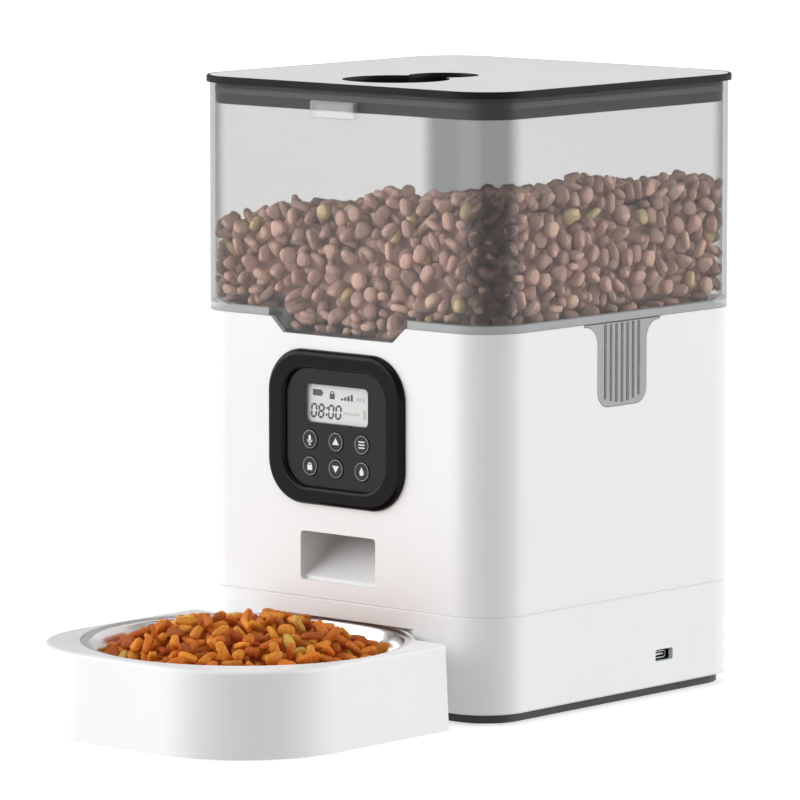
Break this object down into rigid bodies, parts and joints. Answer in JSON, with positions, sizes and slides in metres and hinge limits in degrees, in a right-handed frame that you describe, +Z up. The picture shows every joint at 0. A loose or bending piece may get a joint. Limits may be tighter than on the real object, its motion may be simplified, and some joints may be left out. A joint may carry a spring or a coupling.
{
  "type": "automatic pet feeder",
  "caption": "Square tower pet feeder with clear food hopper, lift-off lid, rotor feed, front control panel, chute and a pull-out tray with steel bowl.",
  "frame": {"origin": "on the floor, under the middle of the whole feeder, bowl tray included", "axes": "+Z up, the front with the control panel faces -Y, +X to the right as seen from the front"},
  "size_m": [0.193, 0.3382, 0.2948],
  "materials": {
    "white_plastic": "satin white moulded ABS",
    "white_inner": "fine matte",
    "black_plastic": "fine textured",
    "lid_black": "satin black",
    "black_gloss": "piano black",
    "panel_dark": "dark smoked face",
    "key_black": "satin, printed symbol",
    "switch_black": "matte",
    "clear_window": "clear, polished",
    "display": "pale grey display glass",
    "clear_hopper": "clear, smoke-grey tint",
    "clear_tab": "translucent grey",
    "grey_plastic": "fine matte",
    "gear_plastic": "natural acetal",
    "brass": "machined",
    "screw_steel": "zinc plated",
    "motor_steel": "drawn can",
    "steel_bowl": "polished stainless",
    "circuit_board": "solder mask",
    "rubber": "matte",
    "silicone": "soft silicone",
    "kibble": "dry pet food, contents only"
  },
  "bodies": {
    "housing": {"upper_housing": "white_plastic", "base_housing": "white_plastic", "bottom_cover": "black_plastic", "rubber_feet": "rubber", "housing_screws": "screw_steel", "battery_contacts": "screw_steel", "rotor_pan": "white_inner", "pan_screws": "screw_steel", "chute": "white_inner", "idler_axle": "screw_steel", "drive_motor": "motor_steel", "gearbox_case": "black_plastic", "gearbox_cover": "black_plastic", "gearbox_screws": "screw_steel", "panel_bezel": "black_gloss", "control_panel": "panel_dark", "lcd_window": "clear_window", "lcd_module": "display", "control_board": "circuit_board", "panel_screws": "screw_steel", "key_switches": "switch_black", "power_board": "circuit_board", "usb_socket": "screw_steel", "speaker": "black_plastic"},
    "rotor": {"rotor": "grey_plastic", "output_gear": "gear_plastic"},
    "idler": {"idler_gear": "gear_plastic"},
    "pinion": {"motor_pinion": "brass"},
    "battery_door": {"battery_door": "black_plastic"},
    "hopper": {"hopper": "clear_hopper", "feed_cover": "grey_plastic"},
    "tab_right": {"release_tab_right": "clear_tab"},
    "tab_left": {"release_tab_left": "clear_tab"},
    "lid": {"lid_frame": "lid_black", "lid_plate": "white_plastic", "lid_seal": "silicone", "desiccant_box": "white_inner"},
    "lock": {"lock_slider": "lid_black"},
    "tray": {"bowl_tray": "white_plastic", "tray_pads": "rubber"},
    "bowl": {"bowl": "steel_bowl"},
    "key_voice": {"key_voice": "key_black"},
    "key_up": {"key_up": "key_black"},
    "key_set": {"key_set": "key_black"},
    "key_lock": {"key_lock": "key_black"},
    "key_down": {"key_down": "key_black"},
    "key_feed": {"key_feed": "key_black"}
  },
  "joints": [
    {"name": "rotor_turn", "type": "hinge", "parent": "housing", "child": "rotor", "pos_m": [0, 0.0811, 0.115], "axis": [0, 0, 1], "continuous": true},
    {"name": "idler_turn", "type": "hinge", "parent": "housing", "child": "idler", "pos_m": [0, 0.1019, 0.1], "axis": [0, 0, 1], "continuous": true},
    {"name": "pinion_turn", "type": "hinge", "parent": "housing", "child": "pinion", "pos_m": [0, 0.1211, 0.095], "axis": [0, 0, 1], "continuous": true},
    {"name": "battery_door_open", "type": "hinge", "parent": "housing", "child": "battery_door", "pos_m": [0, 0.0508, 0.0019], "axis": [-1, 0, 0], "range_deg": [0, 95]},
    {"name": "hopper_lift", "type": "slide", "parent": "housing", "child": "hopper", "axis": [0, 0, 1], "range_m": [0, 0.12]},
    {"name": "tab_right_press", "type": "hinge", "parent": "hopper", "child": "tab_right", "pos_m": [0.095, 0.0731, 0.1824], "axis": [0, 1, 0], "range_deg": [0, 4], "stiffness_Nm_per_rad": 3, "springref_deg": -1.15},
    {"name": "tab_left_press", "type": "hinge", "parent": "hopper", "child": "tab_left", "pos_m": [-0.095, 0.0731, 0.1824], "axis": [0, -1, 0], "range_deg": [0, 4], "stiffness_Nm_per_rad": 3, "springref_deg": -1.15},
    {"name": "lid_lift", "type": "slide", "parent": "hopper", "child": "lid", "axis": [0, 0, 1], "range_m": [0, 0.06]},
    {"name": "lock_slide", "type": "slide", "parent": "lid", "child": "lock", "axis": [0, -1, 0], "range_m": [0, 0.005]},
    {"name": "tray_pull", "type": "slide", "parent": "housing", "child": "tray", "axis": [0, -1, 0], "range_m": [0, 0.2]},
    {"name": "bowl_lift", "type": "slide", "parent": "tray", "child": "bowl", "axis": [0, 0, 1], "range_m": [0, 0.04]},
    {"name": "key_voice_press", "type": "slide", "parent": "housing", "child": "key_voice", "axis": [0, 1, 0], "range_m": [0, 0.0008], "stiffness_N_per_m": 500, "springref_m": -0.0006},
    {"name": "key_up_press", "type": "slide", "parent": "housing", "child": "key_up", "axis": [0, 1, 0], "range_m": [0, 0.0008], "stiffness_N_per_m": 500, "springref_m": -0.0006},
    {"name": "key_set_press", "type": "slide", "parent": "housing", "child": "key_set", "axis": [0, 1, 0], "range_m": [0, 0.0008], "stiffness_N_per_m": 500, "springref_m": -0.0006},
    {"name": "key_lock_press", "type": "slide", "parent": "housing", "child": "key_lock", "axis": [0, 1, 0], "range_m": [0, 0.0008], "stiffness_N_per_m": 500, "springref_m": -0.0006},
    {"name": "key_down_press", "type": "slide", "parent": "housing", "child": "key_down", "axis": [0, 1, 0], "range_m": [0, 0.0008], "stiffness_N_per_m": 500, "springref_m": -0.0006},
    {"name": "key_feed_press", "type": "slide", "parent": "housing", "child": "key_feed", "axis": [0, 1, 0], "range_m": [0, 0.0008], "stiffness_N_per_m": 500, "springref_m": -0.0006}
  ],
  "couplings": [
    {"joint": "idler_turn", "follows": "rotor_turn", "ratio": -3.3333},
    {"joint": "pinion_turn", "follows": "rotor_turn", "ratio": 10},
    {"joint": "bowl_lift", "follows": "tray_pull", "ratio": 0.2}
  ]
}
